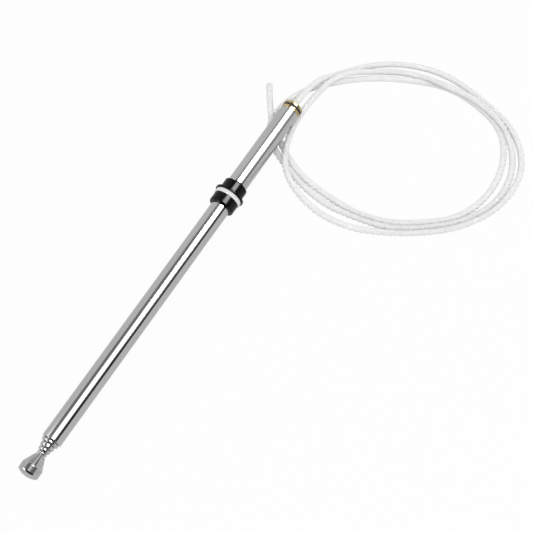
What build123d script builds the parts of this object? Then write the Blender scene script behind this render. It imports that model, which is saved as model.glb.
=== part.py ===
from build123d import *
import os
from math import asin, cos, pi, radians, sin, tan

# Lengths are in millimetres. The mast lies along X with its finial towards +X, on the plane Z = 0.

# Outer tube
TUBE_DIAMETER = 10.5
TUBE_WALL = 0.35
TUBE_LENGTH = 214.7
BASE_SWELL = 0.2
SHOULDER_LENGTH = 0.4
LIP_DEPTH = 1.5
LIP_EDGE = 0.6
STAKE_LENGTH = 1.8
STAKE_WIDTH = 1.3
STAKE_FROM_END = 7.2

# Brass contact at the base, with its seal
CONTACT_LENGTH = 4.7
CONTACT_SPIGOT = 11.3
SEAL_GROOVE_WIDTH = 1.2
SEAL_GROOVE_DEPTH = 0.9
SEAL_GROOVE_FROM_END = 1.5

# Telescopic sections, counted with the outer tube as the first: the radial gap round each one
# and round the rod, and the wall of each
SECTION_2_GAP = 1.0
SECTION_3_GAP = 0.55
SECTION_4_GAP = 0.35
SECTION_5_GAP = 0.4
ROD_GAP = 0.4
SECTION_GAPS = (SECTION_2_GAP, SECTION_3_GAP, SECTION_4_GAP, SECTION_5_GAP, ROD_GAP)
SECTION_2_WALL = 0.3
SECTION_3_WALL = 0.25
SECTION_4_WALL = 0.25
SECTION_5_WALL = 0.2
SECTION_WALLS = (SECTION_2_WALL, SECTION_3_WALL, SECTION_4_WALL, SECTION_5_WALL)
BEAD_PROUD = 0.1
EXPOSED_LENGTH = 2.26
BASE_GAP = 1.0
BEAD_GAP = 0.12

# Stop bush and friction spring at the base of each section
STOP_BUSH_LENGTH = 6.0
SPRING_LENGTH = 8.4
SPRING_FOOT = 1.0
SPRING_SHEET = 0.12
SPRING_SIDES = 12
SPRING_SLITS = 4
SPRING_SLIT = 0.35
BASE_FLARE_LENGTH = 1.0
BASE_FLARE = 0.2

# Fits
RUNNING_CLEARANCE = 0.05
SEAT_CLEARANCE = 0.02
GLAND_CLEARANCE = 0.1
SHOULDER_GAP = 0.15
CORD_CLEARANCE = 0.35

# Finial
FINIAL_NECK_GAP = 0.34
FINIAL_NECK_WALL = 0.95
FINIAL_CONE_LENGTH = 5.2
FINIAL_FLARE = 3.3
FINIAL_BAND_LENGTH = 4.5
FINIAL_BAND_PROUD = 0.1
FINIAL_DOME_HEIGHT = 2.8
FINIAL_SOCKET_DEPTH = 7.0

# Gland that slides on the outer tube, from its cable side to its tip side
GLAND_FROM_BASE = 52.05
SLEEVE_WALL = 1.25
SLEEVE_LENGTH = 6.05
SLEEVE_EDGE = 0.8
FLANGE_STEP = 1.25
FLANGE_LENGTH = 1.3
WASHER_PROUD = 0.45
WASHER_LENGTH = 2.25
WASHER_GROOVE = 0.2
COLLAR_WALL = 1.7
COLLAR_LENGTH = 7.8

# Drive cord: smooth core here, without its teeth
CORD_DIAMETER = 2.6
FERRULE_WALL = 0.18
FERRULE_ON_ROD = 4.0
FERRULE_ON_CORD = 5.0
CORD_STUB_INSIDE = 3.2

# The loose coil: its centre from the mast's base end, the share of each side that its corners
# round off, and the radii of its outlines at even angles, clockwise from the side next to the mast
COIL_CENTRE = (-11.1, 61.0)
COIL_EASE = 0.2
COIL_OUTER = (
    (68.5, 61.5, 56.8, 55.5, 55.2, 57.5, 63.3, 65.5)
    + (61.5, 56.2, 51.3, 50.3, 54.5, 60.5, 65.0, 73.5)
)
COIL_INNER = (
    (55.7, 51.4, 45.0, 43.1, 45.4, 49.0, 53.6, 53.4)
    + (50.6, 47.0, 42.2, 40.7, 42.2, 46.5, 53.5, 57.5)
)

# Route of the cord from the mast's mouth to the coil, and from the coil to its free end,
# from the mast's base end: the first two points of the lead are on the mast's axis
LEAD_ROUTE = (
    (2.8, 0.0),
    (-16.6, 0.0),
    (-33.7, 6.1, 1.6),
)
TAIL_ROUTE = (
    (13.4, -5.0, 1.3),
    (2.7, -13.3, 1.3),
    (-7.9, -20.5, 1.3),
)

# Derived places along the mast
OVERALL_LENGTH = (
    CONTACT_LENGTH
    + TUBE_LENGTH
    + len(SECTION_WALLS) * EXPOSED_LENGTH
    + FINIAL_NECK_GAP
    + FINIAL_CONE_LENGTH
    + FINIAL_BAND_LENGTH
    + FINIAL_DOME_HEIGHT
)
TUBE_RADIUS = TUBE_DIAMETER / 2
BASE_RADIUS = TUBE_RADIUS + BASE_SWELL
GLAND_BORE = TUBE_RADIUS + GLAND_CLEARANCE
COLLAR_RADIUS = GLAND_BORE + COLLAR_WALL
FLANGE_RADIUS = COLLAR_RADIUS + FLANGE_STEP
AXIS_HEIGHT = FLANGE_RADIUS
CORD_RADIUS = CORD_DIAMETER / 2
ROD = len(SECTION_WALLS)
BASE_END = -OVERALL_LENGTH / 2
TUBE_START = BASE_END + CONTACT_LENGTH
LIP_END = TUBE_START + TUBE_LENGTH
SPIGOT_END = TUBE_START + CONTACT_SPIGOT
GLAND_START = TUBE_START + GLAND_FROM_BASE
SHOULDER_START = GLAND_START - SHOULDER_GAP - SHOULDER_LENGTH


def turned(outline, bevels=()):
    """A piece turned about the mast's axis from (place, radius) points, with some corners bevelled."""
    face = make_face(Polyline(*outline, close=True))
    for corner, size in bevels:
        vertex = face.vertices().sort_by_distance((*outline[corner], 0))[0]
        face = chamfer(vertex, size)
    return Pos(0, 0, AXIS_HEIGHT) * revolve(face, Axis.X)


def sleeve(start, end, outer_radius, bore_radius):
    """A plain turned sleeve between two places on the axis."""
    outline = [(start, bore_radius), (start, outer_radius), (end, outer_radius), (end, bore_radius)]
    return turned(outline)


def bore_round(number):
    """Bore radius of the tube that a section, or the rod, runs in."""
    if number == 0:
        return TUBE_RADIUS - TUBE_WALL
    return member_radius(number - 1) - SECTION_WALLS[number - 1]


def member_radius(number):
    """Outside radius of a section, or of the rod after the last one."""
    return bore_round(number) - SECTION_GAPS[number]


def member_base(number):
    """Place of the base end of a section, or of the rod's stop hardware."""
    return SPIGOT_END + BASE_GAP + number * EXPOSED_LENGTH


def member_tip(number):
    """Place of the tip end of a section."""
    return LIP_END + (number + 1) * EXPOSED_LENGTH


def outer_tube():
    """Steel tube with a rolled-in lip, a shoulder for the gland and two staking slots."""
    lip_bore = member_radius(0) + RUNNING_CLEARANCE
    shoulder_end = SHOULDER_START + SHOULDER_LENGTH
    outline = [
        (TUBE_START, BASE_RADIUS - TUBE_WALL),
        (TUBE_START, BASE_RADIUS),
        (SHOULDER_START, BASE_RADIUS),
        (shoulder_end, TUBE_RADIUS),
        (LIP_END, TUBE_RADIUS),
        (LIP_END, lip_bore),
        (LIP_END - LIP_DEPTH, TUBE_RADIUS - TUBE_WALL),
        (shoulder_end, TUBE_RADIUS - TUBE_WALL),
        (SHOULDER_START, BASE_RADIUS - TUBE_WALL),
    ]
    tube = turned(outline, bevels=[(4, min(LIP_EDGE, 0.8 * (TUBE_RADIUS - lip_bore)))])
    return tube - staking_slots()


def staking_slots():
    """The two slots, opposite each other, where the tube is staked to the brass contact."""
    slot = Box(STAKE_LENGTH, 4 * BASE_RADIUS, STAKE_WIDTH)
    return Pos(TUBE_START + STAKE_FROM_END, 0, AXIS_HEIGHT) * slot


def base_contact():
    """Brass contact ring with a seal groove, and the spigot that is staked into the tube."""
    bore = CORD_RADIUS + CORD_CLEARANCE
    spigot = BASE_RADIUS - TUBE_WALL - SEAT_CLEARANCE
    groove_start = BASE_END + SEAL_GROOVE_FROM_END
    groove_end = groove_start + SEAL_GROOVE_WIDTH
    groove_floor = BASE_RADIUS - SEAL_GROOVE_DEPTH
    outline = [
        (BASE_END, bore),
        (BASE_END, BASE_RADIUS),
        (groove_start, BASE_RADIUS),
        (groove_start, groove_floor),
        (groove_end, groove_floor),
        (groove_end, BASE_RADIUS),
        (TUBE_START, BASE_RADIUS),
        (TUBE_START, spigot),
        (SPIGOT_END, spigot),
        (SPIGOT_END, bore),
    ]
    return turned(outline)


def contact_seal():
    """Black rubber ring in the contact's groove."""
    start = BASE_END + SEAL_GROOVE_FROM_END + SEAT_CLEARANCE
    end = start + SEAL_GROOVE_WIDTH - 2 * SEAT_CLEARANCE
    floor = BASE_RADIUS - SEAL_GROOVE_DEPTH + SEAT_CLEARANCE
    return sleeve(start, end, BASE_RADIUS, floor)


def gland_bush():
    """Black moulded bush: sleeve, flange and grooved collar on one bore that slides on the tube."""
    sleeve_radius = GLAND_BORE + SLEEVE_WALL
    flange_start = GLAND_START + SLEEVE_LENGTH
    flange_end = flange_start + FLANGE_LENGTH
    groove_end = flange_end + WASHER_LENGTH + 2 * SEAT_CLEARANCE
    collar_end = flange_end + COLLAR_LENGTH
    outline = [
        (GLAND_START, GLAND_BORE),
        (GLAND_START, sleeve_radius),
        (flange_start, sleeve_radius),
        (flange_start, FLANGE_RADIUS),
        (flange_end, FLANGE_RADIUS),
        (flange_end, COLLAR_RADIUS - WASHER_GROOVE),
        (groove_end, COLLAR_RADIUS - WASHER_GROOVE),
        (groove_end, COLLAR_RADIUS),
        (collar_end, COLLAR_RADIUS),
        (collar_end, GLAND_BORE),
    ]
    return turned(outline, bevels=[(1, min(SLEEVE_EDGE, 0.8 * SLEEVE_WALL))])


def gland_washer():
    """White washer in the bush's groove, between the flange and the collar."""
    start = GLAND_START + SLEEVE_LENGTH + FLANGE_LENGTH + SEAT_CLEARANCE
    outer = COLLAR_RADIUS + WASHER_PROUD
    bore = COLLAR_RADIUS - WASHER_GROOVE + SEAT_CLEARANCE
    return sleeve(start, start + WASHER_LENGTH, outer, bore)


def section_tube(number):
    """One drawn section: bead and turned-in lip at its tip, and a flared base that holds its spring."""
    radius = member_radius(number)
    bore = bore_round(number + 1)
    bead = radius + BEAD_PROUD
    base = member_base(number)
    tip = member_tip(number)
    bead_start = tip - EXPOSED_LENGTH + BEAD_GAP
    lip_bore = member_radius(number + 1) + RUNNING_CLEARANCE
    outline = [
        (base, bore),
        (base, radius + BASE_FLARE),
        (base + BASE_FLARE_LENGTH, radius),
        (bead_start, radius),
        (bead_start, bead),
        (tip, bead),
        (tip, lip_bore),
        (tip - LIP_DEPTH, bore),
    ]
    return turned(outline)


def stop_bush(number):
    """Brass bush at the front of a section's base hardware, which stops against the lip outside."""
    inner = member_radius(number) + SEAT_CLEARANCE
    outer = bore_round(number) - RUNNING_CLEARANCE
    start = member_base(number) + BASE_FLARE_LENGTH + SPRING_LENGTH
    return sleeve(start, start + STOP_BUSH_LENGTH, outer, inner)


def bowed_prism(start, end, flat_at_ends, flat_at_middle):
    """A many-sided bar along the axis, from the distances of its flats to the axis."""
    sections = []
    for place, flat in ((start, flat_at_ends), ((start + end) / 2, flat_at_middle), (end, flat_at_ends)):
        across = Plane(origin=(place, 0, AXIS_HEIGHT), z_dir=(1, 0, 0))
        sections.append(across * RegularPolygon(flat, SPRING_SIDES, major_radius=False))
    return loft(sections, ruled=True)


def friction_spring(number):
    """Bronze cage of flat leaves bowed between two end bands, which press on the bore outside."""
    band = member_radius(number) + SEAT_CLEARANCE
    crest = (bore_round(number) - RUNNING_CLEARANCE) * cos(pi / SPRING_SIDES)
    start = member_base(number) + BASE_FLARE_LENGTH + SEAT_CLEARANCE
    end = start + SPRING_LENGTH - 2 * SEAT_CLEARANCE
    cage = bowed_prism(start, end, band + SPRING_SHEET, crest)
    cage -= bowed_prism(start, end, band, crest - SPRING_SHEET)
    slit = Box(end - start - 2 * SPRING_FOOT, 4 * crest, SPRING_SLIT)
    for pair in range(SPRING_SLITS // 2):
        turn = Rot(pair * 360 / SPRING_SLITS, 0, 0)
        cage -= Pos((start + end) / 2, 0, AXIS_HEIGHT) * turn * slit
    return cage


def mast_rod():
    """Solid innermost rod, from the cord's ferrule to its socket in the finial."""
    base = member_base(ROD)
    start = base - FERRULE_ON_ROD
    end = member_tip(ROD - 1) + FINIAL_NECK_GAP + FINIAL_SOCKET_DEPTH
    radius = member_radius(ROD)
    outline = [
        (start, 0),
        (start, radius),
        (base, radius),
        (base, radius + BASE_FLARE),
        (base + BASE_FLARE_LENGTH, radius),
        (end, radius),
        (end, 0),
    ]
    return turned(outline)


def finial():
    """Tip button: a flared cone, a band and a shallow dome, with a socket for the rod."""
    neck = member_tip(ROD - 1) + FINIAL_NECK_GAP
    cone_end = neck + FINIAL_CONE_LENGTH
    band_end = cone_end + FINIAL_BAND_LENGTH
    crown = band_end + FINIAL_DOME_HEIGHT
    socket = member_radius(ROD) + SEAT_CLEARANCE
    socket_end = neck + FINIAL_SOCKET_DEPTH + SEAT_CLEARANCE
    neck_radius = socket + FINIAL_NECK_WALL
    edge = neck_radius + FINIAL_FLARE + FINIAL_BAND_PROUD
    body = Polyline(
        (crown, 0),
        (socket_end, 0),
        (socket_end, socket),
        (neck, socket),
        (neck, neck_radius),
        (cone_end, neck_radius + FINIAL_FLARE),
        (cone_end, edge),
        (band_end, edge),
    )
    dome_radius = (edge**2 + FINIAL_DOME_HEIGHT**2) / (2 * FINIAL_DOME_HEIGHT)
    half_way = asin(edge / dome_radius) / 2
    shoulder = (crown - dome_radius * (1 - cos(half_way)), dome_radius * sin(half_way))
    dome = ThreePointArc((band_end, edge), shoulder, (crown, 0))
    return Pos(0, 0, AXIS_HEIGHT) * revolve(make_face([body, dome]), Axis.X)


def cord_ferrule():
    """Brass ferrule that joins the rod to the cord, stepped from one to the other."""
    rod_end = member_base(ROD) - FERRULE_ON_ROD
    start = rod_end - FERRULE_ON_CORD
    end = rod_end + FERRULE_ON_ROD - SEAT_CLEARANCE
    rod_bore = member_radius(ROD) + SEAT_CLEARANCE
    cord_bore = CORD_RADIUS + SEAT_CLEARANCE
    outline = [
        (start, cord_bore),
        (start, cord_bore + FERRULE_WALL),
        (rod_end - FERRULE_WALL, cord_bore + FERRULE_WALL),
        (rod_end - FERRULE_WALL, rod_bore + FERRULE_WALL),
        (end, rod_bore + FERRULE_WALL),
        (end, rod_bore),
        (rod_end, rod_bore),
        (rod_end, cord_bore),
    ]
    return turned(outline)


def cord_stub():
    """The cord's end in the ferrule, which follows the rod, up to the mouth of the contact."""
    rod_end = member_base(ROD) - FERRULE_ON_ROD
    start = BASE_END + CORD_STUB_INSIDE
    return turned([(start, 0), (start, CORD_RADIUS), (rod_end, CORD_RADIUS), (rod_end, 0)])


def cord_tube(name, route):
    """A stretch of the cord: straight runs joined by arcs as large as the runs allow."""
    points = [Vector(BASE_END + point[0], *point[1:]) for point in route]
    runs = [second - first for first, second in zip(points, points[1:])]
    radii = []
    for first, second in zip(runs, runs[1:]):
        turn = first.get_angle(second)
        shorter = min(first.length, second.length)
        radii.append(0.45 * shorter / tan(radians(turn / 2)))
    path = FilletPolyline(*points, radius=radii)
    start = Plane(origin=path @ 0, z_dir=path % 0)
    tube = sweep(start * Circle(CORD_RADIUS), path=path)
    section = pi * CORD_RADIUS**2
    print(name, "radii", [round(radius, 1) for radius in radii], "length", round(path.length, 2))
    print(name, "volume over section times length", round(tube.volume / (section * path.length), 5))
    return tube


def ring_outline(radii):
    """Closed outline of the coil: tangent arcs round points at even angles about its centre."""
    centre_x, centre_y = BASE_END + COIL_CENTRE[0], COIL_CENTRE[1]
    points = []
    for step, radius in enumerate(radii):
        angle = radians(360 * step / len(radii))
        points.append(Vector(centre_x - radius * sin(angle), centre_y - radius * cos(angle)))
    arcs = []
    for before, point, after in zip(points[-1:] + points[:-1], points, points[1:] + points[:1]):
        turn = (point - before).get_angle(after - point)
        shorter = min((point - before).length, (after - point).length)
        arcs.append(COIL_EASE * shorter / tan(radians(turn / 2)))
    return FilletPolyline(*points, radius=arcs, close=True)


def cord_coil():
    """The loose turns of the cord as one flat closed ring, one cord thick."""
    outside = make_face(ring_outline(COIL_OUTER))
    inside = make_face(ring_outline(COIL_INNER))
    return extrude(outside - inside, CORD_DIAMETER)


def build():
    """All pieces by node name."""
    on_axis = tuple((*point, AXIS_HEIGHT) for point in LEAD_ROUTE[:2])
    pieces = {
        "outer_tube": outer_tube(),
        "base_contact": base_contact(),
        "contact_seal": contact_seal(),
        "gland_bush": gland_bush(),
        "gland_washer": gland_washer(),
        "mast_rod": mast_rod(),
        "rod_stop_bush": stop_bush(ROD),
        "rod_spring": friction_spring(ROD),
        "finial": finial(),
        "cord_ferrule": cord_ferrule(),
        "cord_stub": cord_stub(),
        "cord_lead": cord_tube("cord_lead", on_axis + LEAD_ROUTE[2:]),
        "cord_coil": cord_coil(),
        "cord_tail": cord_tube("cord_tail", TAIL_ROUTE),
    }
    for number in range(ROD):
        name = f"section_{number + 2}"
        pieces[f"{name}_tube"] = section_tube(number)
        pieces[f"{name}_stop_bush"] = stop_bush(number)
        pieces[f"{name}_spring"] = friction_spring(number)
    return pieces


def main():
    os.makedirs("parts", exist_ok=True)
    for name, shape in build().items():
        export_step(shape, f"parts/{name}.step")
    hardware = BASE_FLARE_LENGTH + SPRING_LENGTH + STOP_BUSH_LENGTH
    travel = LIP_END - LIP_DEPTH - member_base(0) - hardware
    gland_end = GLAND_START + SLEEVE_LENGTH + FLANGE_LENGTH + COLLAR_LENGTH
    print("mast length", round(OVERALL_LENGTH, 2), "travel of each section", round(travel, 2))
    print("gland travel to the lip", round(LIP_END - gland_end, 2))


if __name__ == "__main__":
    main()
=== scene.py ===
"""Studio scene of a collapsed telescopic mast with its gland and its loose toothed drive cord.

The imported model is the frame. The turned pieces are remade here with their eased edges and the
cord with its teeth, and every piece gets its finish. Lengths in the classes are millimetres.
"""

import logging
import math
from dataclasses import dataclass, field
from enum import Enum
from typing import Optional, Sequence, Union

import bpy
from mathutils import Matrix, Vector

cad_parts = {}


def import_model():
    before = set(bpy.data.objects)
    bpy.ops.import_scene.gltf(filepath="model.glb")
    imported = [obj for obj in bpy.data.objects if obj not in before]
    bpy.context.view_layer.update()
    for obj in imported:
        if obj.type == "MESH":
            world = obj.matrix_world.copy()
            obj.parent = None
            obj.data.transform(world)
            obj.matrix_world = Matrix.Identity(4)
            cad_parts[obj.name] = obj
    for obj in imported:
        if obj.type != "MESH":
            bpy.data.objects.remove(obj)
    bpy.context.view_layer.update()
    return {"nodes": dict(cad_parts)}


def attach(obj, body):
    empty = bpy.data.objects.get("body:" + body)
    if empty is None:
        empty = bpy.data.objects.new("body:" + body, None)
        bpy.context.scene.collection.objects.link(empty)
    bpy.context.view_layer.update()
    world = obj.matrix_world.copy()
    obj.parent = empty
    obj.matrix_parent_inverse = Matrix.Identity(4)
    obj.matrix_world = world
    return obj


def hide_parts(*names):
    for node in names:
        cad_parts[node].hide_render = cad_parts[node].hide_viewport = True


LOG = logging.getLogger("mast")
MM = 0.001  # a millimetre in metres
MERGE = 1e-7  # metres within which doubled points are one
AXIS_HEIGHT = 8.3  # height of the mast's axis
BASE_END = -120.64  # outer end of the brass contact
TUBE_START = -115.94  # where the outer tube meets the contact's ring
TUBE_END = 99.6  # the outer tube's lip
BUTTON_START = 108.14  # small end of the button's cone
SOCKET_DEPTH = 7.0  # how far the rod goes into the button
EVEN = (1.0, 1.0, 1.0)  # the same along every axis, or in every colour

Piece = bpy.types.Object
Pair = tuple[float, float]
Triple = tuple[float, float, float]
Profile = list[Pair]
Value = Union[float, Sequence[float], "Port"]


def ramp_up(value: float, start: float, width: float) -> float:
    """A share that rises smoothly from 0 at start to 1 at start + width."""
    share = min(max((value - start) / width, 0.0), 1.0)
    return share * share * (3.0 - 2.0 * share)


class Side(Enum):
    """Which way a turned profile closes."""

    RING = "the last point joins the first"
    SOLID = "both ends close on the axis"


@dataclass(frozen=True)
class Corner:
    """A corner of a turned profile.

    Args:
        place: distance along the mast.
        radius: distance from the mast's axis.
        ease: radius of the round on the corner.
    """

    place: float
    radius: float
    ease: float = 0.0


class Port:
    """A node's output, with arithmetic that adds Math nodes."""

    def __init__(self, graph: "Graph", socket: bpy.types.NodeSocket) -> None:
        """Keeps the socket and the graph that it is in."""
        self.graph = graph
        self.socket = socket

    def _math(self, operation: str, *values: Value) -> "Port":
        """The output of a new Math node with these inputs."""
        inputs = dict(enumerate(values))
        return self.graph.node("ShaderNodeMath", {"operation": operation}, inputs)[0]

    def __add__(self, other: Value) -> "Port":
        """Sum."""
        return self._math("ADD", self, other)

    __radd__ = __add__

    def __sub__(self, other: Value) -> "Port":
        """Difference."""
        return self._math("SUBTRACT", self, other)

    def __rsub__(self, other: Value) -> "Port":
        """Difference from a number."""
        return self._math("SUBTRACT", other, self)

    def __mul__(self, other: Value) -> "Port":
        """Product."""
        return self._math("MULTIPLY", self, other)

    __rmul__ = __mul__

    def at_least(self, low: float) -> "Port":
        """The value, raised to low where it is less."""
        return self._math("MAXIMUM", self, low)

    def at_most(self, high: float) -> "Port":
        """The value, lowered to high where it is more."""
        return self._math("MINIMUM", self, high)

    def heading(self, across: "Port") -> "Port":
        """Angle of the direction (across, self) in radians."""
        return self._math("ARCTAN2", self, across)

    def smooth(self, low: float, high: float) -> "Port":
        """A share that rises smoothly.

        Args:
            low: the value up to which it is 0.
            high: the value from which it is 1.

        Returns:
            The share.
        """
        settings = {"interpolation_type": "SMOOTHSTEP"}
        values = {"Value": self, "From Min": low, "From Max": high}
        return self.graph.node("ShaderNodeMapRange", settings, values)["Result"]


class Step:
    """A node, whose outputs are read by name or number."""

    def __init__(self, graph: "Graph", node: bpy.types.Node) -> None:
        """Keeps the node."""
        self.graph = graph
        self.node = node

    def __getitem__(self, key: Union[str, int]) -> Port:
        """The output of that name or number."""
        return Port(self.graph, self.node.outputs[key])


class Graph:
    """A node tree that is written as expressions."""

    def __init__(self, tree: bpy.types.NodeTree) -> None:
        """Empties the tree and keeps it."""
        self.tree = tree
        self.tree.nodes.clear()

    def node(
        self,
        kind: str,
        settings: Optional[dict[str, object]] = None,
        values: Optional[dict[Union[str, int], Value]] = None,
        stops: Sequence[tuple[float, Sequence[float]]] = (),
    ) -> Step:
        """Adds a node.

        Args:
            kind: the node's type.
            settings: its own settings, which are set first.
            values: numbers, colours or links for its inputs.
            stops: places and colours of a ramp.

        Returns:
            The node with its outputs.
        """
        made = self.tree.nodes.new(kind)
        for name, value in (settings or {}).items():
            setattr(made, name, value)
        for number, (place, colour) in enumerate(stops):
            ramp = made.color_ramp.elements
            stop = ramp[number] if number < len(ramp) else ramp.new(place)
            stop.position = place
            stop.color = (*colour, 1.0)
        for key, value in (values or {}).items():
            if isinstance(value, Port):
                self.tree.links.new(value.socket, made.inputs[key])
            else:
                made.inputs[key].default_value = value
        return Step(self, made)

    def grain(self, stretch: Sequence[float], scale: float, detail: float = 2.0) -> Port:
        """Noise on the piece's own coordinates.

        Args:
            stretch: how often it repeats along X, Y and Z, against each other.
            scale: how often it repeats per metre.
            detail: layers of finer noise.

        Returns:
            The noise, from 0 to 1.
        """
        place = self.node("ShaderNodeTexCoord")["Object"]
        stretched = {"Vector": place, "Scale": tuple(stretch)}
        mapped = self.node("ShaderNodeMapping", None, stretched)
        values = {"Vector": mapped["Vector"], "Scale": scale, "Detail": detail}
        return self.node("ShaderNodeTexNoise", None, values)["Fac"]

    def tint(self, factor: Value, first: Sequence[float], second: Sequence[float]) -> Port:
        """Colour between two, by a factor."""
        values = {"Factor": factor, 6: (*first, 1.0), 7: (*second, 1.0)}
        return self.node("ShaderNodeMix", {"data_type": "RGBA"}, values)[2]

    def relief(self, height: Port, depth: float, strength: float = 1.0) -> Port:
        """Normal bumped by a height, whose 1 stands for depth in metres."""
        values = {"Height": height, "Distance": depth, "Strength": strength}
        return self.node("ShaderNodeBump", None, values)["Normal"]

    def surface(self, values: dict[str, Value]) -> None:
        """Ends the material in a Principled shader with these inputs."""
        shader = self.node("ShaderNodeBsdfPrincipled", None, values)
        self.node("ShaderNodeOutputMaterial", None, {"Surface": shader["BSDF"]})


class Finish:
    """A finish that is made once and put on many pieces."""

    name: str = "finish"

    def build(self, graph: Graph) -> None:
        """Writes the material's nodes."""
        raise NotImplementedError

    def material(self) -> bpy.types.Material:
        """The finish as a material, made when first asked for.

        Returns:
            The material.
        """
        known = bpy.data.materials.get(self.name)
        if known is not None:
            return known
        made = bpy.data.materials.new(self.name)
        made.use_nodes = True
        self.build(Graph(made.node_tree))
        return made

    def put_on(self, *pieces: Piece) -> None:
        """Gives pieces this finish in place of what they have.

        Args:
            pieces: the pieces.
        """
        for piece in pieces:
            if not piece.material_slots:
                piece.data.materials.append(self.material())
            for slot in piece.material_slots:
                slot.material = self.material()


@dataclass(frozen=True)
class DrawnSteel(Finish):
    """Bright chromed tube with the fine lines of its drawing along it."""

    name: str = "drawn_chromed_steel"
    light: Triple = (0.52, 0.522, 0.528)
    dark: Triple = (0.47, 0.472, 0.479)
    roughness: float = 0.085
    spread: float = 0.05
    line_scale: float = 5200.0
    line_depth: float = 1.2e-6
    cloud_scale: float = 90.0

    def build(self, graph: Graph) -> None:
        """Lines along the tube change its tone, gloss and height."""
        lines = graph.grain((0.012, 1.0, 1.0), self.line_scale, 3.0)
        clouds = graph.grain((0.35, 1.0, 1.0), self.cloud_scale, 3.0)
        tone = (lines * 0.6 + clouds * 0.4).smooth(0.3, 0.7)
        graph.surface({
            "Base Color": graph.tint(tone, self.dark, self.light),
            "Metallic": 1.0,
            "Roughness": self.roughness + self.spread * clouds.smooth(0.35, 0.7),
            "Normal": graph.relief(lines, self.line_depth, 0.35),
        })


@dataclass(frozen=True)
class TurnedChrome(Finish):
    """Chromed button with the rings of its turning under the plating."""

    name: str = "turned_chrome"
    light: Triple = (0.5, 0.503, 0.51)
    dark: Triple = (0.43, 0.433, 0.44)
    roughness: float = 0.07
    spread: float = 0.04
    ring_scale: float = 5200.0
    ring_depth: float = 2.0e-6
    cloud_scale: float = 260.0

    def build(self, graph: Graph) -> None:
        """Clouds change its tone, and rings across the axis its gloss and height."""
        rings = graph.grain((1.0, 0.02, 0.02), self.ring_scale, 2.0)
        clouds = graph.grain(EVEN, self.cloud_scale, 3.0)
        graph.surface({
            "Base Color": graph.tint(clouds.smooth(0.35, 0.65), self.dark, self.light),
            "Metallic": 1.0,
            "Roughness": self.roughness + self.spread * rings,
            "Normal": graph.relief(rings, self.ring_depth, 0.4),
        })


@dataclass(frozen=True)
class TurnedMetal(Finish):
    """Bare copper alloy, turned, a little duller in patches."""

    name: str = "turned_brass"
    light: Triple = (0.58, 0.48, 0.26)
    dark: Triple = (0.36, 0.28, 0.13)
    roughness: float = 0.16
    spread: float = 0.12
    ring_scale: float = 4200.0
    ring_depth: float = 3.0e-6
    patch_scale: float = 420.0

    def build(self, graph: Graph) -> None:
        """Rings across the axis change its height, and duller patches its tone and gloss."""
        rings = graph.grain((1.0, 0.03, 0.03), self.ring_scale, 2.0)
        patches = graph.grain(EVEN, self.patch_scale, 3.0)
        graph.surface({
            "Base Color": graph.tint(patches.smooth(0.3, 0.62), self.dark, self.light),
            "Metallic": 1.0,
            "Roughness": self.roughness + self.spread * patches,
            "Normal": graph.relief(rings, self.ring_depth, 0.5),
        })


@dataclass(frozen=True)
class SealRubber(Finish):
    """Matt black rubber."""

    name: str = "black_seal_rubber"
    dark: Triple = (0.012, 0.012, 0.013)
    light: Triple = (0.022, 0.022, 0.023)
    roughness: float = 0.5
    spread: float = 0.15
    grain_scale: float = 3500.0
    grain_depth: float = 4.0e-6

    def build(self, graph: Graph) -> None:
        """A fine mould grain."""
        grain = graph.grain(EVEN, self.grain_scale, 2.0)
        graph.surface({
            "Base Color": graph.tint(grain, self.dark, self.light),
            "Roughness": self.roughness + self.spread * grain,
            "Normal": graph.relief(grain, self.grain_depth, 0.5),
        })


@dataclass(frozen=True)
class MouldedBlack(Finish):
    """Smooth black nylon moulding, with flow marks and a slightly soft gloss."""

    name: str = "moulded_black_nylon"
    dark: Triple = (0.0015, 0.0015, 0.0018)
    light: Triple = (0.003, 0.003, 0.0033)
    roughness: float = 0.13
    spread: float = 0.08
    shine: float = 0.16
    flow_scale: float = 300.0
    grain_scale: float = 2600.0
    grain_depth: float = 4.0e-6

    def build(self, graph: Graph) -> None:
        """Flow marks vary the gloss, and a fine grain breaks the highlight."""
        flow = graph.grain((0.3, 1.0, 1.0), self.flow_scale, 3.0)
        grain = graph.grain(EVEN, self.grain_scale, 2.0)
        graph.surface({
            "Base Color": graph.tint(flow, self.dark, self.light),
            "Roughness": self.roughness + self.spread * flow.smooth(0.3, 0.7),
            "Specular IOR Level": self.shine,
            "Normal": graph.relief(grain, self.grain_depth, 0.35),
        })


@dataclass(frozen=True)
class WhiteNylon(Finish):
    """White nylon of the washer, hardly glossy."""

    name: str = "white_nylon"
    light: Triple = (0.86, 0.86, 0.85)
    dark: Triple = (0.8, 0.8, 0.785)
    roughness: float = 0.45
    spread: float = 0.1
    grain_scale: float = 2600.0
    grain_depth: float = 1.0e-5

    def build(self, graph: Graph) -> None:
        """A mottled grain changes its tone, gloss and height."""
        mottle = graph.grain(EVEN, self.grain_scale, 3.0)
        graph.surface({
            "Base Color": graph.tint(mottle.smooth(0.3, 0.65), self.dark, self.light),
            "Roughness": self.roughness + self.spread * mottle,
            "Normal": graph.relief(mottle, self.grain_depth, 0.4),
        })


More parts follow.
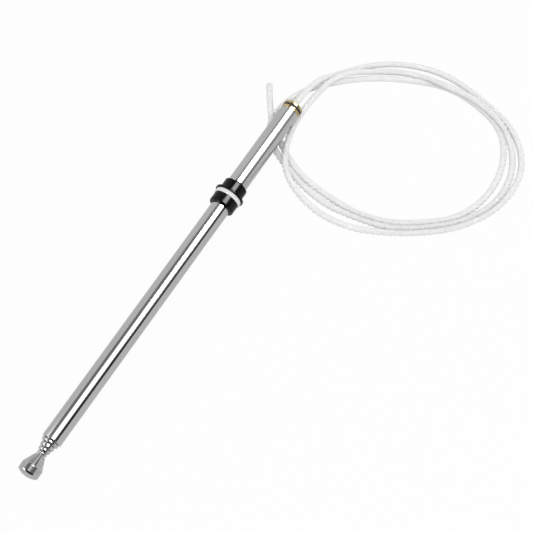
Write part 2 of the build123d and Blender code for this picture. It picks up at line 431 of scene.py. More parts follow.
@dataclass(frozen=True)
class CordNylon(Finish):
    """Milky, slightly see-through nylon of the cord."""

    name: str = "milky_cord_nylon"
    light: Triple = (0.9, 0.9, 0.898)
    dark: Triple = (0.84, 0.84, 0.838)
    roughness: float = 0.42
    spread: float = 0.12
    shine: float = 0.35
    milkiness: float = 0.65
    glow_reach: float = 0.004
    cloud_scale: float = 340.0
    skin_scale: float = 2400.0
    skin_depth: float = 6.0e-6

    def build(self, graph: Graph) -> None:
        """Cloudy inside, with a soft skin."""
        cloud = graph.grain(EVEN, self.cloud_scale, 3.0)
        skin = graph.grain(EVEN, self.skin_scale, 2.0)
        graph.surface({
            "Base Color": graph.tint(cloud.smooth(0.3, 0.65), self.dark, self.light),
            "Roughness": self.roughness + self.spread * skin,
            "Specular IOR Level": self.shine,
            "Subsurface Weight": self.milkiness,
            "Subsurface Radius": EVEN,
            "Subsurface Scale": self.glow_reach,
            "Normal": graph.relief(skin, self.skin_depth, 0.3),
        })


STEEL = DrawnSteel()
CHROME = TurnedChrome()
BRASS = TurnedMetal()
BRONZE = TurnedMetal("spring_bronze", (0.62, 0.36, 0.2), (0.4, 0.21, 0.1), 0.3)
RUBBER = SealRubber()
BLACK = MouldedBlack()
WASHER = WhiteNylon()
CORD = CordNylon()


def pick(piece: Optional[Piece] = None) -> None:
    """Selects one piece and nothing else.

    Args:
        piece: the piece, or None to select nothing.
    """
    bpy.ops.object.select_all(action="DESELECT")
    if piece is not None:
        piece.select_set(True)
        bpy.context.view_layer.objects.active = piece


@dataclass
class Lathe:
    """Turns pieces about the mast's axis, by pulling a ring of edges along a profile.

    Args:
        sides: facets round the axis.
        steps: facets in each round.
        most_of_wall: share of a wall that the round on its end may take.
        support: how far from a round the edge lies that keeps its wall flat.
        support_share: share of what is left of the wall that this may take.
    """

    sides: int = 96
    steps: int = 6
    most_of_wall: float = 0.48
    support: float = 0.15
    support_share: float = 0.3
    smooth_angle: float = 24.0

    def eased(self, corners: Sequence[Corner], side: Side) -> Profile:
        """A profile with its corners rounded.

        Args:
            corners: the profile's corners in order.
            side: how it closes.

        Returns:
            The points of the rounded profile.
        """
        points: Profile = []
        count = len(corners)
        for number, corner in enumerate(corners):
            here = Vector((corner.place, corner.radius))
            ends = side is Side.SOLID and number in (0, count - 1)
            if ends or corner.ease <= 0.0:
                points.append((here.x, here.y))
                continue
            before = corners[number - 1]
            after = corners[(number + 1) % count]
            back = Vector((before.place, before.radius)) - here
            ahead = Vector((after.place, after.radius)) - here
            half = back.angle(ahead) / 2
            room = self.most_of_wall * min(back.length, ahead.length)
            reach = min(corner.ease / math.tan(half), room)
            radius = reach * math.tan(half)
            bisector = (back.normalized() + ahead.normalized()).normalized()
            centre = here + bisector * (radius / math.sin(half))
            first = here + back.normalized() * reach - centre
            last = here + ahead.normalized() * reach - centre
            for step in range(self.steps + 1):
                share = step / self.steps
                spoke = first.slerp(last, share).normalized() * radius
                points.append((centre.x + spoke.x, centre.y + spoke.y))
            for wall, place in ((back, -self.steps - 1), (ahead, len(points) + 1)):
                beside = min(self.support, self.support_share * (wall.length / 2 - reach))
                flat = here + wall.normalized() * (reach + beside)
                points.insert(place, (flat.x, flat.y))
        return points

    def turn(self, name: str, points: Profile, side: Side) -> Piece:
        """Turns a profile into a piece.

        Args:
            name: the piece's name.
            points: places and radii in order.
            side: how the profile closes.

        Returns:
            The piece, at the origin, with its place in its mesh.
        """
        first = 1 if side is Side.SOLID else 0
        last = len(points) - 1 if side is Side.SOLID else len(points)
        ring = points[first:last]
        pick()
        bpy.ops.mesh.primitive_circle_add(
            vertices=self.sides,
            radius=ring[0][1] * MM,
            fill_type="NOTHING",
            location=(ring[0][0] * MM, 0.0, AXIS_HEIGHT * MM),
            rotation=(0.0, math.pi / 2, 0.0),
        )
        piece = bpy.context.object
        piece.name = name
        piece.data.name = name
        bpy.ops.object.transform_apply(location=True, rotation=True, scale=True)
        bpy.ops.object.mode_set(mode="EDIT")
        bpy.ops.mesh.select_mode(type="VERT")
        bpy.ops.mesh.select_all(action="SELECT")
        for here, there in zip(ring, ring[1:]):
            self._pull(here, there)
        if side is Side.RING:
            self._pull(ring[-1], ring[0])
        else:
            self._pull(ring[-1], points[-1])
            bpy.ops.mesh.select_all(action="SELECT")
            bpy.ops.mesh.remove_doubles(threshold=MERGE)
            bpy.ops.mesh.select_all(action="DESELECT")
            bpy.ops.mesh.select_non_manifold()
            self._pull(ring[0], points[0])
        bpy.ops.mesh.select_all(action="SELECT")
        bpy.ops.mesh.remove_doubles(threshold=MERGE)
        bpy.ops.mesh.normals_make_consistent(inside=False)
        bpy.ops.object.mode_set(mode="OBJECT")
        bpy.ops.object.shade_smooth_by_angle(angle=math.radians(self.smooth_angle))
        return piece

    def _pull(self, here: Pair, there: Pair) -> None:
        """Extrudes the selected ring from one point of the profile to the next.

        Args:
            here: the place and radius that the ring has.
            there: the place and radius that it gets.
        """
        shift = ((there[0] - here[0]) * MM, 0.0, 0.0)
        bpy.ops.mesh.extrude_edges_move(TRANSFORM_OT_translate={"value": shift})
        share = there[1] / here[1]
        centre = (there[0] * MM, 0.0, AXIS_HEIGHT * MM)
        bpy.ops.transform.resize(value=(1.0, share, share), center_override=centre)

    def ring(self, name: str, *corners: Corner) -> Piece:
        """A turned piece with a bore."""
        return self.turn(name, self.eased(corners, Side.RING), Side.RING)

    def solid(self, name: str, *corners: Corner) -> Piece:
        """A turned piece that closes on the axis."""
        return self.turn(name, self.eased(corners, Side.SOLID), Side.SOLID)


LATHE = Lathe()


def seat(piece: Piece, body: str, slot: str, *nodes: str) -> Piece:
    """Puts a finished piece on its body in place of CAD nodes.

    Args:
        piece: the finished piece.
        body: the body that it rides on.
        slot: not used.
        nodes: the nodes that it stands for.

    Returns:
        The piece.
    """
    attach(piece, body)
    if nodes:
        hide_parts(*nodes)
    return piece


@dataclass(frozen=True)
class Stake:
    """A round-ended slot in both sides that holds the contact in the outer tube.

    Args:
        outside: distance from the axis at which the punch starts.
        end_share: radius of its rounds, as a share of its width.
    """

    place: float = -108.74
    length: float = 2.2
    width: float = 1.4
    outside: float = 7.0
    end_share: float = 0.4
    end_steps: int = 5

    def punch(self, side: float, floor: float) -> Piece:
        """The body that is cut away on one side.

        Args:
            side: 1 for +Y or -1 for -Y.
            floor: distance from the axis at which it ends.

        Returns:
            The body.
        """
        middle = side * (self.outside + floor) / 2
        pick()
        bpy.ops.mesh.primitive_cube_add(
            size=1.0,
            location=(self.place * MM, middle * MM, AXIS_HEIGHT * MM),
            scale=(self.length * MM, (self.outside - floor) * MM, self.width * MM),
        )
        body = bpy.context.object
        bpy.ops.object.transform_apply(location=True, rotation=True, scale=True)
        ease = body.modifiers.new("ends", "BEVEL")
        ease.width = self.end_share * self.width * MM
        ease.segments = self.end_steps
        bpy.ops.object.modifier_apply(modifier=ease.name)
        return body

    def cut(self, piece: Piece, floor: float) -> None:
        """Cuts the slot into both sides of a piece.

        Args:
            piece: the piece.
            floor: distance from the axis at which the slot ends.
        """
        for side in (-1.0, 1.0):
            punch = self.punch(side, floor)
            pick(piece)
            slot = piece.modifiers.new("stake", "BOOLEAN")
            slot.operation = "DIFFERENCE"
            slot.solver = "EXACT"
            slot.object = punch
            bpy.ops.object.modifier_apply(modifier=slot.name)
            bpy.data.objects.remove(punch)


@dataclass
class OuterTube:
    """Outer tube with its swollen base, rolled lip and staking slots."""

    radius: float = 5.25
    swell: float = 0.2
    wall: float = 0.35
    base_edge: float = 0.08
    shoulder: float = -64.44
    shoulder_length: float = 0.4
    shoulder_round: float = 0.2
    lip_bore: float = 3.95
    lip_flat: float = 0.5
    lip_depth: float = 1.5
    lip_round: float = 0.3
    lip_edge: float = 0.12
    stake_floor: float = 4.0

    def build(self) -> list[Piece]:
        """Turns the tube and cuts its slots.

        Returns:
            The tube.
        """
        tip = TUBE_END
        wide = self.radius + self.swell
        end = self.shoulder + self.shoulder_length
        tube = LATHE.ring(
            "mast_outer_tube",
            Corner(TUBE_START, wide - self.wall),
            Corner(TUBE_START, wide, self.base_edge),
            Corner(self.shoulder, wide, self.shoulder_round),
            Corner(end, self.radius, self.shoulder_round),
            Corner(tip, self.radius, self.lip_round),
            Corner(tip, self.lip_bore, self.lip_edge),
            Corner(tip - self.lip_flat, self.lip_bore),
            Corner(tip - self.lip_depth, self.radius - self.wall),
            Corner(end, self.radius - self.wall),
            Corner(self.shoulder, wide - self.wall),
        )
        Stake().cut(tube, self.stake_floor)
        STEEL.put_on(tube)
        return [seat(tube, "outer", "tube_steel", "outer_tube")]


@dataclass
class Base:
    """Brass contact ring and its rubber seal."""

    start: float = BASE_END
    length: float = TUBE_START - BASE_END
    radius: float = 5.45
    spigot: float = 5.08
    spigot_length: float = 11.3
    spigot_edge: float = 0.2
    bore: float = 1.65
    mouth: float = 2.6
    mouth_depth: float = 0.9
    mouth_edge: float = 0.15
    groove_start: float = 1.4
    groove_width: float = 1.4
    groove_depth: float = 0.9
    groove_edge: float = 0.1
    edge: float = 0.22
    shoulder_edge: float = 0.12
    stake_floor: float = 3.4
    seal_gap: float = 0.02
    seal_proud: float = 0.08
    seal_round: float = 0.6
    seal_foot: float = 0.2

    def build(self) -> list[Piece]:
        """Turns the contact with its countersunk mouth, and the seal.

        Returns:
            Both.
        """
        near = self.start + self.groove_start
        far = near + self.groove_width
        floor = self.radius - self.groove_depth
        tube = self.start + self.length
        end = tube + self.spigot_length
        contact = LATHE.ring(
            "mast_base_contact",
            Corner(self.start + self.mouth_depth, self.bore),
            Corner(self.start, self.mouth, self.mouth_edge),
            Corner(self.start, self.radius, self.edge),
            Corner(near, self.radius, self.groove_edge),
            Corner(near, floor),
            Corner(far, floor),
            Corner(far, self.radius, self.groove_edge),
            Corner(tube, self.radius, self.shoulder_edge),
            Corner(tube, self.spigot),
            Corner(end, self.spigot, self.spigot_edge),
            Corner(end, self.bore),
        )
        Stake().cut(contact, self.stake_floor)
        BRASS.put_on(contact)
        inner = floor + self.seal_gap
        outer = self.radius + self.seal_proud
        seal = LATHE.ring(
            "mast_contact_seal",
            Corner(near + self.seal_gap, inner, self.seal_foot),
            Corner(near + self.seal_gap, outer, self.seal_round),
            Corner(far - self.seal_gap, outer, self.seal_round),
            Corner(far - self.seal_gap, inner, self.seal_foot),
        )
        RUBBER.put_on(seal)
        return [
            seat(contact, "outer", "brass", "base_contact"),
            seat(seal, "outer", "seal_rubber", "contact_seal"),
        ]


@dataclass
class Gland:
    """Black bush that slides on the outer tube, and its white washer."""

    start: float = -63.89
    bore: float = 5.35
    bore_edge: float = 0.25
    sleeve: float = 6.6
    sleeve_length: float = 6.05
    sleeve_round: float = 1.1
    root_round: float = 0.25
    flange: float = 8.3
    flange_length: float = 1.3
    flange_round: float = 0.4
    collar: float = 7.05
    collar_length: float = 7.8
    collar_round: float = 0.7
    groove: float = 0.2
    groove_gap: float = 0.04
    washer: float = 7.5
    washer_length: float = 2.25
    washer_gap: float = 0.02
    washer_edges: Triple = (0.15, 0.3, 0.1)

    def build(self) -> list[Piece]:
        """Turns the bush with its rounded sleeve, and the washer.

        Returns:
            Both.
        """
        back = self.start + self.sleeve_length
        front = back + self.flange_length
        end = front + self.collar_length
        floor = self.collar - self.groove
        groove_end = front + self.washer_length + self.groove_gap
        bush = LATHE.ring(
            "gland_black_bush",
            Corner(self.start, self.bore, self.bore_edge),
            Corner(self.start, self.sleeve, self.sleeve_round),
            Corner(back, self.sleeve, self.root_round),
            Corner(back, self.flange, self.flange_round),
            Corner(front, self.flange, self.flange_round),
            Corner(front, floor),
            Corner(groove_end, floor),
            Corner(groove_end, self.collar),
            Corner(end, self.collar, self.collar_round),
            Corner(end, self.bore, self.bore_edge),
        )
        BLACK.put_on(bush)
        near = front + self.washer_gap
        far = front + self.washer_length
        inner = floor + self.washer_gap
        near_edge, far_edge, inner_edge = self.washer_edges
        washer = LATHE.ring(
            "gland_white_washer",
            Corner(near, inner),
            Corner(near, self.washer, near_edge),
            Corner(far, self.washer, far_edge),
            Corner(far, inner, inner_edge),
        )
        WASHER.put_on(washer)
        return [
            seat(bush, "gland", "gland_black", "gland_bush"),
            seat(washer, "gland", "washer_white", "gland_washer"),
        ]


@dataclass
class Sections:
    """The telescopic sections with their rolled beads, from the widest, and the rod."""

    radii: tuple[float, ...] = (3.9, 3.05, 2.45, 1.8, 1.2)
    walls: tuple[float, ...] = (0.3, 0.25, 0.25, 0.2)
    beads: tuple[float, ...] = (4.6, 3.67, 3.16, 2.6)
    tips: tuple[float, ...] = (101.5, 104.0, 106.1, 107.7)
    bead_gap: float = 0.12
    bead_round: float = 0.6
    bead_neck: float = 0.14
    bead_rise: float = 0.35
    base_gap: float = 12.3
    base_step: float = 2.26
    flare: float = 0.2
    flare_length: float = 1.0
    flare_edge: float = 0.05
    mouth_gap: float = 0.05
    mouth_edge: float = 0.1
    mouth_flat: float = 0.5
    lip_depth: float = 1.5
    rod_tail: float = 4.0
    rod_edge: float = 0.1

    def base(self, number: int) -> float:
        """Place of a section's base end."""
        return TUBE_START + self.base_gap + number * self.base_step

    def build(self) -> list[Piece]:
        """Turns the four sections and the rod.

        Returns:
            The five, from the widest.
        """
        made = []
        for number, (radius, wall) in enumerate(zip(self.radii, self.walls)):
            base = self.base(number)
            tip = self.tips[number]
            step = (self.tips[number - 1] if number else TUBE_END) + self.bead_gap
            bead = self.beads[number]
            mouth = self.radii[number + 1] + self.mouth_gap
            bore = radius - wall
            section = LATHE.ring(
                f"mast_section_{number + 2}",
                Corner(base, bore),
                Corner(base, radius + self.flare, self.flare_edge),
                Corner(base + self.flare_length, radius),
                Corner(step, radius),
                Corner(step, radius - self.bead_neck),
                Corner(step + self.bead_rise, bead, self.bead_round),
                Corner(tip, bead, self.bead_round),
                Corner(tip, mouth, self.mouth_edge),
                Corner(tip - self.mouth_flat, mouth),
                Corner(tip - self.lip_depth, bore),
            )
            STEEL.put_on(section)
            body = f"section_{number + 2}"
            made.append(seat(section, body, "tube_steel", f"{body}_tube"))
        made.append(self._rod())
        return made

    def _rod(self) -> Piece:
        """Turns the solid rod, with its flare and the tail that the ferrule holds.

        Returns:
            The rod.
        """
        radius = self.radii[-1]
        base = self.base(len(self.walls))
        tail = base - self.rod_tail
        end = BUTTON_START + SOCKET_DEPTH
        rod = LATHE.solid(
            "mast_inner_rod",
            Corner(tail, 0.0),
            Corner(tail, radius, self.rod_edge),
            Corner(base, radius),
            Corner(base, radius + self.flare, self.flare_edge),
            Corner(base + self.flare_length, radius),
            Corner(end, radius),
            Corner(end, 0.0),
        )
        STEEL.put_on(rod)
        return seat(rod, "rod", "tube_steel", "mast_rod")


@dataclass
class Finial:
    """Button at the mast's tip.

    Args:
        taper: how much wider the band is at the cone than at the dome.
        crease: radius of the round between the band and the dome.
        dome_first: the first of the dome's steps, past the crease.
    """

    neck: float = 2.55
    neck_edge: float = 0.25
    socket: float = 1.22
    socket_edge: float = 0.1
    cone_length: float = 6.5
    band: float = 5.5
    band_length: float = 4.15
    band_round: float = 0.5
    taper: float = 0.08
    crease: float = 1.6
    dome_height: float = 1.5
    dome_steps: int = 16
    dome_first: int = 4

    def build(self) -> list[Piece]:
        """Turns the cone, the band, the crease and the dome.

        Returns:
            The button.
        """
        start = BUTTON_START
        bottom = start + SOCKET_DEPTH
        wide = start + self.cone_length
        rim = wide + self.band_length
        crown = rim + self.dome_height
        sphere = (self.band**2 + self.dome_height**2) / (2 * self.dome_height)
        opening = math.asin(self.band / sphere)
        dome = []
        for step in range(self.dome_first, self.dome_steps):
            angle = opening * (1 - step / self.dome_steps)
            dome.append((crown - sphere * (1 - math.cos(angle)), sphere * math.sin(angle)))
        profile = LATHE.eased(
            [
                Corner(bottom, 0.0),
                Corner(bottom, self.socket),
                Corner(start, self.socket, self.socket_edge),
                Corner(start, self.neck, self.neck_edge),
                Corner(wide, self.band + self.taper, self.band_round),
                Corner(rim, self.band, self.crease),
                Corner(*dome[0]),
                Corner(crown, 0.0),
            ],
            Side.SOLID,
        )
        profile[-1:] = [*dome[1:], (crown, 0.0)]
        button = LATHE.turn("mast_finial", profile, Side.SOLID)
        CHROME.put_on(button)
        return [seat(button, "rod", "finial_chrome", "finial")]


@dataclass
class DriveCord:
    """White nylon drive cord with a rack of teeth along it, lying in loose turns.

    Args:
        centre: the coil's centre, from the contact's outer end.
        per_turn: control points in a turn, of which first_step is the first.
        rest_height: height of the control points that lie on the floor.
        crest: how far a tooth stands out of the round cord, as root does between teeth.
        plain_start: length without teeth at the mast.
        tooth_start: where a tooth's flank starts, in half pitches, as flank is.
        rack_start: how far the rack reaches round the cord, as a cosine, as rack_side is.
        samples: rings in a pitch.
        look: rings to either side that the cord's direction is read from.
        rack_bearing: degrees from +X, seen from the centre, where it rolls upwards most.
        rack_roll: mean and swing of its roll upwards, in degrees.
        turn_radii: distances of the turns' control points from the centre.
        lifts: how far a control point is raised where strands cross.
    """

    centre: Pair = (-11.1, 61.0)
    per_turn: int = 16
    first_step: int = 2
    rest_height: float = 1.65
    radius: float = 1.62
    crest: float = 0.28
    root: float = -0.1
    pitch: float = 3.0
    plain_start: float = 7.0
    tooth_start: float = 0.28
    flank: float = 0.34
    rack_start: float = 0.35
    rack_side: float = 0.4
    samples: int = 10
    look: int = 3
    sides: int = 16
    smooth_angle: float = 40.0
    spline_steps: int = 24
    rack_bearing: float = 62.5
    rack_roll: Pair = (-12.0, 45.0)
    lead: tuple[Triple, ...] = (
        (2.8, 0.0, 8.3),
        (-7.6, 0.0, 8.3),
        (-17.1, 0.6, 6.7),
        (-26.1, 2.6, 3.8),
        (-33.6, 7.6, 1.6),
    )
    turn_radii: tuple[float, ...] = (
        (56.1, 54.9, 55.0, 55.5, 63.6, 67.1, 61.8, 54.8)
        + (49.7, 49.4, 54.3, 60.2, 65.3, 60.9, 57.5, 56.5)
        + (51.3, 49.2, 47.2, 52.3, 59.6, 61.7, 59.1, 51.9)
        + (46.9, 46.7, 47.1, 53.4, 61.0, 75.7, 67.6, 53.6)
        + (46.8, 44.7, 48.1, 51.5, 57.2, 55.8, 52.8, 49.2)
        + (43.8, 43.5, 44.9, 48.1, 58.0)
    )
    lifts: dict[int, float] = field(
        default_factory=lambda: {
            12: 4.0, 13: 1.3, 14: 0.2, 15: 4.1, 17: 0.2, 18: 2.3, 19: 2.9, 20: 1.0,
        }
    )
    tail: tuple[Triple, ...] = (
        (13.4, -5.0, 1.6),
        (7.6, -10.0, 7.2),
        (-0.1, -15.4, 6.0),
        (-7.9, -20.5, 1.6),
    )

    def route(self) -> list[Vector]:
        """The cord's control points, along its lead, its turns and its tail.

        Returns:
            The points, in metres.
        """
        points = [Vector((BASE_END + x, y, z)) for x, y, z in self.lead]
        for number, radius in enumerate(self.turn_radii):
            angle = math.tau * (self.first_step + number) / self.per_turn
            x = BASE_END + self.centre[0] - radius * math.sin(angle)
            y = self.centre[1] - radius * math.cos(angle)
            points.append(Vector((x, y, self.rest_height + self.lifts.get(number, 0.0))))
        points += [Vector((BASE_END + x, y, z)) for x, y, z in self.tail]
        return [point * MM for point in points]

    def line(self) -> list[Vector]:
        """The spline that the route's control points give.

        Returns:
            Points along it, in metres.
        """
        route = self.route()
        curve = bpy.data.curves.new("cord_route", "CURVE")
        curve.dimensions = "3D"
        spline = curve.splines.new("NURBS")
        spline.points.add(len(route) - 1)
        for point, place in zip(spline.points, route):
            point.co = (*place, 1.0)
        spline.order_u = 3
        spline.use_endpoint_u = True
        spline.resolution_u = self.spline_steps
        carrier = bpy.data.objects.new("cord_route", curve)
        bpy.context.scene.collection.objects.link(carrier)
        mesh = bpy.data.meshes.new_from_object(carrier)
        points = [vertex.co.copy() for vertex in mesh.vertices]
        bpy.data.objects.remove(carrier)
        bpy.data.meshes.remove(mesh)
        bpy.data.curves.remove(curve)
        return points

    def _even(self, points: Sequence[Vector]) -> list[tuple[float, Vector, Vector]]:
        """Even places along the line.

        Args:
            points: the line's points.

        Returns:
            For each place its distance along the line, its point and its direction.
        """
        lengths = [0.0]
        for here, there in zip(points, points[1:]):
            lengths.append(lengths[-1] + (there - here).length)
        count = round(lengths[-1] / (self.pitch * MM / self.samples))
        spots = []
        cursor = 0
        for number in range(count + 1):
            along = lengths[-1] * number / count
            while cursor < len(points) - 2 and lengths[cursor + 1] < along:
                cursor += 1
            share = (along - lengths[cursor]) / (lengths[cursor + 1] - lengths[cursor])
            spots.append((along, points[cursor].lerp(points[cursor + 1], share)))
        places = []
        for number, (along, spot) in enumerate(spots):
            back = spots[max(number - self.look, 0)][1]
            ahead = spots[min(number + self.look, len(spots) - 1)][1]
            places.append((along, spot, (ahead - back).normalized()))
        return places

    def _stand(self, along: float) -> float:
        """How far the rack stands out of the round cord.

        Args:
            along: distance along the cord, in metres.

        Returns:
            Its height there.
        """
        if along < self.plain_start * MM:
            return 0.0
        phase = (along / (self.pitch * MM)) % 1.0
        wave = abs(2.0 * phase - 1.0)
        share = ramp_up(wave, self.tooth_start, self.flank)
        return self.root + (self.crest - self.root) * share

    def _rack(self, spot: Vector, forward: Vector) -> tuple[Vector, Vector]:
        """Which way the rack faces, which rolls as the cord goes round its coil.

        Args:
            spot: a point on the cord.
            forward: the cord's direction there.

        Returns:
            The rack's direction and the direction beside it.
        """
        outward = Vector((0.0, 0.0, 1.0)).cross(forward).normalized()
        lift = outward.cross(forward)
        if lift.z < 0.0:
            lift = -lift
        middle = Vector((BASE_END + self.centre[0], self.centre[1], 0.0)) * MM
        away = spot - middle
        bearing = math.atan2(away.y, away.x) - math.radians(self.rack_bearing)
        mean, swing = self.rack_roll
        roll = math.radians(mean + swing * math.cos(bearing))
        rack = outward * math.cos(roll) + lift * math.sin(roll)
        return rack, forward.cross(rack)

    def _rings(self, points: Sequence[Vector]) -> list[Vector]:
        """The toothed skin's vertices.

        Args:
            points: the line that it goes round.

        Returns:
            Its rings, one after the other.
        """
        vertices = []
        for along, spot, forward in self._even(points):
            rack, beside = self._rack(spot, forward)
            stand = self._stand(along)
            for number in range(self.sides):
                angle = math.tau * number / self.sides
                facing = math.cos(angle)
                reach = self.radius + stand * ramp_up(facing, self.rack_start, self.rack_side)
                vertices.append(spot + (rack * facing + beside * math.sin(angle)) * reach * MM)
        return vertices

    def _faces(self, vertices: int) -> list[tuple[int, ...]]:
        """The toothed skin's faces.

        Args:
            vertices: how many vertices its rings have together.

        Returns:
            The faces between the rings, and one on either end.
        """
        last = vertices - self.sides
        faces = []
        for start in range(0, last, self.sides):
            for number in range(self.sides):
                here, after = start + number, start + (number + 1) % self.sides
                faces.append((here, after, after + self.sides, here + self.sides))
        faces.append(tuple(reversed(range(self.sides))))
        faces.append(tuple(range(last, vertices)))
        return faces

    def build(self) -> list[Piece]:
        """Returns:
            The cord.
        """
        points = self.line()
        vertices = self._rings(points)
        mesh = bpy.data.meshes.new("drive_cord")
        mesh.from_pydata(vertices, [], self._faces(len(vertices)))
        cord = bpy.data.objects.new("drive_cord", mesh)
        bpy.context.scene.collection.objects.link(cord)
        pick(cord)
        bpy.ops.object.mode_set(mode="EDIT")
        bpy.ops.mesh.select_all(action="SELECT")
        bpy.ops.mesh.normals_make_consistent(inside=False)
        bpy.ops.object.mode_set(mode="OBJECT")
        bpy.ops.object.shade_smooth_by_angle(angle=math.radians(self.smooth_angle))
        CORD.put_on(cord)
        seat(cord, "outer", "cord_nylon", "cord_lead", "cord_coil", "cord_tail")
        return [cord]


@dataclass
class Hardware:
    """CAD nodes that keep their shape, inside the tubes."""

    members: tuple[str, ...] = ("section_2", "section_3", "section_4", "section_5", "rod")

    def dress(self, nodes: dict[str, Piece]) -> list[Piece]:
        """Gives each node its finish.

        Args:
            nodes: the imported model's nodes by name.

        Returns:
            The nodes that are dressed.
        """
        springs = [nodes[f"{member}_spring"] for member in self.members]
        brass = [nodes[f"{member}_stop_bush"] for member in self.members]
        brass.append(nodes["cord_ferrule"])
        stub = nodes["cord_stub"]
        BRONZE.put_on(*springs)
        BRASS.put_on(*brass)
        CORD.put_on(stub)
        return [*springs, *brass, stub]


@dataclass(frozen=True)
class Card:
    """A lamp or a dark card round the object, which its polished metal mirrors.

    Args:
        name: what it is.
        turn: its two long edges, in degrees about the mast from +Y towards +Z.
        reach: its two short edges, as the part of their direction along +X.
        level: light that it adds, or takes away where it is negative.
        fade: degrees over which its long edges fade.
        end_fade: the same for its short edges, in reach.
    """

    name: str
    turn: Pair
    reach: Pair
    level: float
    fade: float = 4.0
    end_fade: float = 0.02

    def light(self, turn: Port, reach: Port) -> Port:
        """Light that it adds in a direction.

        Args:
            turn: the direction's turn about the mast.
            reach: the direction's part along +X.

        Returns:
            Its level inside its edges, and nothing outside them.
        """
        low, high = self.turn
        start, end = self.reach
        half, end_half = self.fade / 2, self.end_fade / 2
        across = turn.smooth(low - half, low + half)
        across = across * (1.0 - turn.smooth(high - half, high + half))
        along = reach.smooth(start - end_half, start + end_half)
        along = along * (1.0 - reach.smooth(end - end_half, end + end_half))
        return across * along * self.level


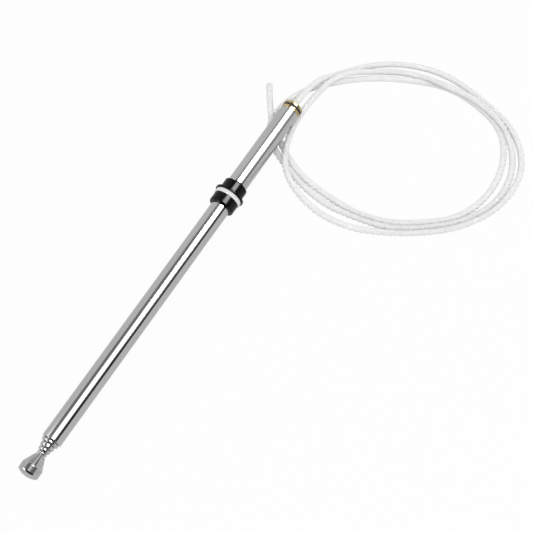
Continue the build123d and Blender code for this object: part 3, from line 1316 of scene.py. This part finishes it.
@dataclass
class Studio:
    """Camera, floor, lamp and surroundings. The floor's and the lamp's sizes are metres.

    Args:
        soft_level: the world's light on what isn't polished.
        mirrored_level: what polished surfaces mirror where no card is.
        mirrored_least: what they mirror at the least.
        floor_white: share of plain white in the floor that the camera sees.
        floor_mirrored: share of it in the floor that polished surfaces mirror.
    """

    lens: float = 85.44
    sensor: float = 36.0
    clip: Pair = (0.01, 20.0)
    eye: Triple = (182.31, 175.96, 601.93)
    right: Triple = (-0.53813, 0.84286, 0.0)
    up: Triple = (-0.77399, -0.49416, 0.39591)
    back: Triple = (0.33370, 0.21305, 0.91829)
    soft_level: float = 0.704
    mirrored_level: float = 0.864
    mirrored_least: float = 0.016
    white: float = 1.0
    floor_white: float = 0.95
    floor_mirrored: float = 0.35
    floor_tone: float = 0.8
    floor_size: float = 6.0
    floor_height: float = -0.0002
    lamp_size: Pair = (1.1, 0.8)
    lamp_watts: float = 6.0
    lamp_place: Triple = (0.1, 0.35, 1.3)
    lamp_back: Triple = (0.15, 0.3, 1.3)
    cards: tuple[Card, ...] = (
        Card("light box", (56.0, 88.5), (-0.365, -0.112), 4.16, 5.0, 0.012),
        Card("light box, by the base", (53.0, 96.0), (-0.52, -0.365), 4.16, 5.0, 0.012),
        Card("strong lamp over the gland", (57.0, 90.5), (-0.4, -0.325), 34.0, 9.0, 0.02),
        Card("dark card, near side, by the tip", (19.5, 46.5), (-0.225, -0.108), -0.84),
        Card("dark card, near side", (20.5, 42.0), (-0.37, -0.225), -0.824),
        Card("dim card, near side, by the base", (19.5, 38.5), (-0.52, -0.37), -0.496),
        Card("dim card, far side", (98.0, 127.0), (-0.36, -0.115), -0.608, 8.0),
        Card("grey card, far side, by the base", (102.0, 120.0), (-0.52, -0.36), -0.336, 8.0),
        Card("dark card over the button", (25.0, 137.0), (-0.104, -0.045), -0.64, 8.0, 0.012),
        Card("dim lamp over the button", (72.0, 96.0), (-0.104, -0.045), 0.76, 8.0, 0.012),
        Card("dark card past the tip", (14.0, 124.0), (-0.045, 1.1), -0.84, 8.0, 0.02),
        Card("side lamp by the tip", (124.0, 150.0), (-0.131, -0.11), 2.08, 6.0, 0.006),
        Card("side lamp past the button", (118.0, 152.0), (-0.04, 0.85), 1.76, 8.0, 0.02),
        Card("dark card past the base", (24.0, 150.0), (-0.75, -0.54), -0.8, 10.0, 0.03),
        Card("dark card, near side, far back", (40.0, 62.0), (-0.98, -0.77), -0.72, 8.0, 0.02),
        Card("dark card, far side, far back", (106.0, 126.0), (-0.98, -0.77), -0.52, 8.0, 0.02),
    )

    def camera(self) -> None:
        """Places the camera at the photograph's viewpoint."""
        data = bpy.data.cameras.new("camera")
        data.sensor_width = self.sensor
        data.lens = self.lens
        data.clip_start, data.clip_end = self.clip
        eye = bpy.data.objects.new("camera", data)
        bpy.context.scene.collection.objects.link(eye)
        turned = Matrix((self.right, self.up, self.back)).transposed().to_4x4()
        eye.matrix_world = Matrix.Translation(Vector(self.eye) * MM) @ turned
        bpy.context.scene.camera = eye

    def floor(self) -> None:
        """Lays the pale floor, nearly white to the eye, with the object's soft shadow."""
        pick()
        place = (0.0, 0.0, self.floor_height)
        bpy.ops.mesh.primitive_plane_add(size=self.floor_size, location=place)
        floor = bpy.context.object
        floor.name = "studio_floor"
        bpy.ops.object.transform_apply(location=True, rotation=True, scale=True)
        made = bpy.data.materials.new("studio_floor")
        made.use_nodes = True
        graph = Graph(made.node_tree)
        path = graph.node("ShaderNodeLightPath")
        seen = path["Is Camera Ray"] * self.floor_white
        mirrored = (path["Is Glossy Ray"] + path["Is Transmission Ray"]) * self.floor_mirrored
        tone = (self.floor_tone, self.floor_tone, self.floor_tone, 1.0)
        diffuse = graph.node("ShaderNodeBsdfDiffuse", None, {"Color": tone})
        glow = graph.node("ShaderNodeEmission", None, {"Strength": self.white})
        blend = {0: (seen + mirrored).at_most(1.0), 1: diffuse["BSDF"], 2: glow["Emission"]}
        both = graph.node("ShaderNodeMixShader", None, blend)
        graph.node("ShaderNodeOutputMaterial", None, {"Surface": both["Shader"]})
        floor.data.materials.append(made)

    def surroundings(self) -> None:
        """Even soft light, with the lamps and dark cards that polished surfaces mirror."""
        world = bpy.data.worlds.new("studio")
        world.use_nodes = True
        bpy.context.scene.world = world
        graph = Graph(world.node_tree)
        toward = graph.node("ShaderNodeTexCoord")["Generated"]
        parts = graph.node("ShaderNodeSeparateXYZ", None, {"Vector": toward})
        turn = parts["Z"].heading(parts["Y"]) * (180.0 / math.pi)
        cards = (card.light(turn, parts["X"]) for card in self.cards)
        mirrored = sum(cards, self.mirrored_level)
        path = graph.node("ShaderNodeLightPath")
        camera, glossy = path["Is Camera Ray"], path["Is Glossy Ray"]
        plain = (1.0 - glossy) * (camera * (self.white - self.soft_level) + self.soft_level)
        lit = plain + glossy * mirrored.at_least(self.mirrored_least)
        values = {"Color": (1.0, 1.0, 1.0, 1.0), "Strength": lit}
        sky = graph.node("ShaderNodeBackground", None, values)
        graph.node("ShaderNodeOutputWorld", None, {"Surface": sky["Background"]})
        LOG.info("polished surfaces mirror: %s", "; ".join(card.name for card in self.cards))

    def lamp(self) -> None:
        """Hangs one wide soft lamp over the object."""
        data = bpy.data.lights.new("overhead", "AREA")
        data.shape = "RECTANGLE"
        data.size, data.size_y = self.lamp_size
        data.energy = self.lamp_watts
        lamp = bpy.data.objects.new("overhead", data)
        lamp.location = self.lamp_place
        lamp.rotation_euler = Vector(self.lamp_back).to_track_quat("Z", "Y").to_euler()
        lamp.visible_glossy = False
        bpy.context.scene.collection.objects.link(lamp)

    def build(self) -> None:
        """Sets up the whole studio."""
        self.camera()
        self.floor()
        self.surroundings()
        self.lamp()
        bpy.context.scene.view_settings.view_transform = "Standard"


def main() -> None:
    """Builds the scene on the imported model, piece by piece."""
    logging.basicConfig(level=logging.INFO, format="%(name)s: %(message)s")
    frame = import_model()
    Studio().build()
    pieces = [
        *DriveCord().build(),
        *OuterTube().build(),
        *Base().build(),
        *Gland().build(),
        *Sections().build(),
        *Finial().build(),
        *Hardware().dress(frame["nodes"]),
    ]
    for piece in pieces:
        LOG.info("%s has %d faces", piece.name, len(piece.data.polygons))


if __name__ == "__main__":
    main()
